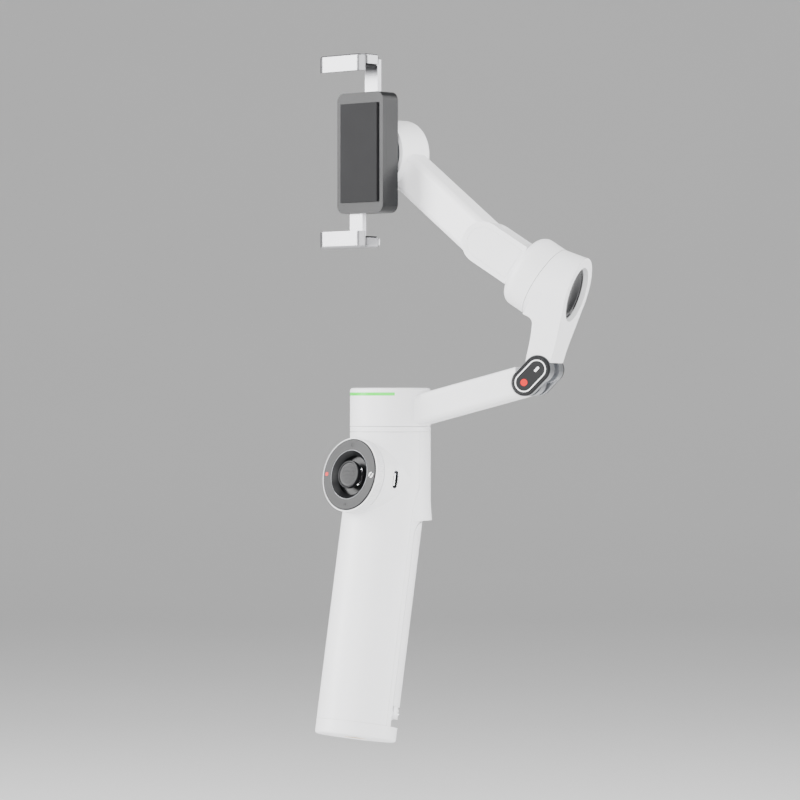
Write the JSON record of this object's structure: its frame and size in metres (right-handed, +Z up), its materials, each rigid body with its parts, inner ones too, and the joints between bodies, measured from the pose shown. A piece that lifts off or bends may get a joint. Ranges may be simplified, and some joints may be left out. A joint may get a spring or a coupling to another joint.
{
  "type": "gimbal stabilizer",
  "caption": "Hand-held phone gimbal: leaning grip with thumb stick and folding tripod, telescopic mast, pan, tilt and roll motors on a folding arm, and a sprung phone clamp.",
  "frame": {"origin": "mouth of the tripod thread, in the middle of the base face of the grip", "axes": "+Z up along the pan axis, -Y the front where the thumb stick is, +X the user's right, where the arm leaves"},
  "size_m": [0.1212, 0.0935, 0.312],
  "materials": {
    "white_plastic": "fine satin",
    "black_plastic": "satin",
    "black_gloss": "polished",
    "silver_metal": "satin",
    "jaw_metal": "satin with polished edges",
    "bright_steel": "bright",
    "rod_metal": "anodised",
    "rubber": "matte",
    "brass": "machined",
    "green_light": "translucent, lit",
    "red_paint": "smooth",
    "white_paint": "smooth",
    "cell_wrap": "shrink sleeve",
    "board": "solder mask",
    "copper": "wound wire",
    "magnet": "plated"
  },
  "bodies": {
    "grip": {"grip_front_casing": "white_plastic", "grip_rear_casing": "white_plastic", "base_cap": "white_plastic", "thread_insert": "brass", "base_screws": "bright_steel", "battery_cell": "cell_wrap", "circuit_board": "board", "usb_socket": "bright_steel", "rod_guide_tube": "rod_metal", "hinge_pins": "bright_steel", "pod_spigot": "black_plastic", "joystick_bracket": "bright_steel", "joystick_shield": "black_plastic"},
    "tripod_rear": {"tripod_leg_rear": "white_plastic"},
    "tripod_right": {"tripod_leg_right": "white_plastic"},
    "tripod_left": {"tripod_leg_left": "white_plastic"},
    "control_wheel": {"control_wheel": "white_plastic"},
    "control_ring": {"control_ring": "black_plastic"},
    "joystick_yoke": {"joystick_yoke": "bright_steel"},
    "joystick": {"joystick_stem": "bright_steel", "joystick_cap": "black_plastic"},
    "trigger": {"trigger": "white_plastic"},
    "rod_1": {"rod_section_1": "rod_metal"},
    "rod_2": {"rod_section_2": "rod_metal"},
    "rod_3": {"rod_section_3": "rod_metal"},
    "mast": {"rod_section_4": "rod_metal", "pan_collar": "white_plastic", "pan_stator": "copper", "pan_bearing": "bright_steel"},
    "pan_arm": {"pan_arm": "white_plastic", "pan_arm_cover": "white_plastic", "pan_magnets": "magnet", "led_bar": "green_light", "lower_knuckle": "silver_metal"},
    "elbow_link": {"elbow_cheeks": "silver_metal", "elbow_pins": "bright_steel", "elbow_front_plate": "black_plastic", "elbow_inlays": "white_paint", "elbow_record_dot": "red_paint", "elbow_back_plate": "black_plastic"},
    "upper_arm": {"upper_arm": "white_plastic", "upper_knuckle": "silver_metal", "tilt_stator": "copper", "tilt_bearing": "bright_steel", "tilt_cap_disc": "black_plastic"},
    "tilt_arm": {"tilt_rotor": "white_plastic", "tilt_arm": "white_plastic", "tilt_arm_cover": "white_plastic", "roll_stator": "copper", "roll_bearing": "bright_steel"},
    "clamp": {"roll_rotor": "silver_metal", "clamp_body": "black_plastic", "clamp_front_cover": "black_plastic", "clamp_pad": "rubber", "upper_jaw_spring": "bright_steel", "lower_jaw_spring": "bright_steel"},
    "upper_jaw": {"upper_jaw": "jaw_metal", "upper_jaw_pad": "rubber"},
    "lower_jaw": {"lower_jaw": "jaw_metal", "lower_jaw_pad": "rubber"}
  },
  "joints": [
    {"name": "tripod_rear_swing", "type": "hinge", "parent": "grip", "child": "tripod_rear", "pos_m": [0, 0.01757, 0.00954], "axis": [-1, 0, 0], "range_deg": [0, 105]},
    {"name": "tripod_right_swing", "type": "hinge", "parent": "grip", "child": "tripod_right", "pos_m": [0.0144, 0.00905, 0.01107], "axis": [0, 0.9842, -0.1771], "range_deg": [0, 115]},
    {"name": "tripod_left_swing", "type": "hinge", "parent": "grip", "child": "tripod_left", "pos_m": [-0.0144, 0.00905, 0.01107], "axis": [0, -0.9842, 0.1771], "range_deg": [0, 115]},
    {"name": "control_wheel_spin", "type": "hinge", "parent": "grip", "child": "control_wheel", "pos_m": [0, 0.02054, 0.11417], "axis": [0, -0.9842, 0.1771], "continuous": true},
    {"name": "control_ring_press", "type": "slide", "parent": "grip", "child": "control_ring", "axis": [0, 0.9842, -0.1771], "range_m": [0, 0.0004], "stiffness_N_per_m": 1500},
    {"name": "joystick_tilt_up_down", "type": "hinge", "parent": "grip", "child": "joystick_yoke", "pos_m": [0, 0.00401, 0.11714], "axis": [1, 0, 0], "range_deg": [-11, 11], "stiffness_Nm_per_rad": 0.02},
    {"name": "joystick_tilt_left_right", "type": "hinge", "parent": "joystick_yoke", "child": "joystick", "pos_m": [0, 0.00401, 0.11714], "axis": [0, 0.1771, 0.9842], "range_deg": [-11, 11], "stiffness_Nm_per_rad": 0.02},
    {"name": "trigger_pull", "type": "hinge", "parent": "grip", "child": "trigger", "pos_m": [0, 0.03894, 0.1189], "axis": [-1, 0, 0], "range_deg": [0, 5], "stiffness_Nm_per_rad": 0.5},
    {"name": "rod_1_slide", "type": "slide", "parent": "grip", "child": "rod_1", "axis": [0, 0, 1], "range_m": [0, 0.04]},
    {"name": "rod_2_slide", "type": "slide", "parent": "rod_1", "child": "rod_2", "axis": [0, 0, 1], "range_m": [0, 0.04]},
    {"name": "rod_3_slide", "type": "slide", "parent": "rod_2", "child": "rod_3", "axis": [0, 0, 1], "range_m": [0, 0.04]},
    {"name": "mast_slide", "type": "slide", "parent": "rod_3", "child": "mast", "axis": [0, 0, 1], "range_m": [0, 0.04]},
    {"name": "pan", "type": "hinge", "parent": "mast", "child": "pan_arm", "pos_m": [0, 0.02294, 0.1402], "axis": [0, 0, 1], "range_deg": [-210, 60]},
    {"name": "elbow_link_fold", "type": "hinge", "parent": "pan_arm", "child": "elbow_link", "pos_m": [0.06063, 0.05121, 0.1598], "axis": [-0.4226, 0.9063, 0], "range_deg": [0, 72.5]},
    {"name": "upper_arm_fold", "type": "hinge", "parent": "elbow_link", "child": "upper_arm", "pos_m": [0.06598, 0.05371, 0.1657], "axis": [-0.4226, 0.9063, 0], "range_deg": [0, 72.5]},
    {"name": "tilt", "type": "hinge", "parent": "upper_arm", "child": "tilt_arm", "pos_m": [0.06634, 0.05388, 0.205], "axis": [0.7558, 0.3524, -0.5519], "range_deg": [-80, 98]},
    {"name": "roll", "type": "hinge", "parent": "tilt_arm", "child": "clamp", "pos_m": [-0.0168, 0.0304, 0.265], "axis": [0, 1, 0], "range_deg": [-98, 210]},
    {"name": "upper_jaw_slide", "type": "slide", "parent": "clamp", "child": "upper_jaw", "axis": [0, 0, 1], "range_m": [-0.0096, 0.0063], "stiffness_N_per_m": 200, "deforming": ["upper_jaw_spring"]},
    {"name": "lower_jaw_slide", "type": "slide", "parent": "clamp", "child": "lower_jaw", "axis": [0, 0, -1], "range_m": [-0.0096, 0.0063], "deforming": ["lower_jaw_spring"]}
  ],
  "couplings": [
    {"joint": "rod_2_slide", "follows": "rod_1_slide", "ratio": 1},
    {"joint": "rod_3_slide", "follows": "rod_1_slide", "ratio": 1},
    {"joint": "mast_slide", "follows": "rod_1_slide", "ratio": 1},
    {"joint": "upper_arm_fold", "follows": "elbow_link_fold", "ratio": 1},
    {"joint": "lower_jaw_slide", "follows": "upper_jaw_slide", "ratio": 1}
  ]
}
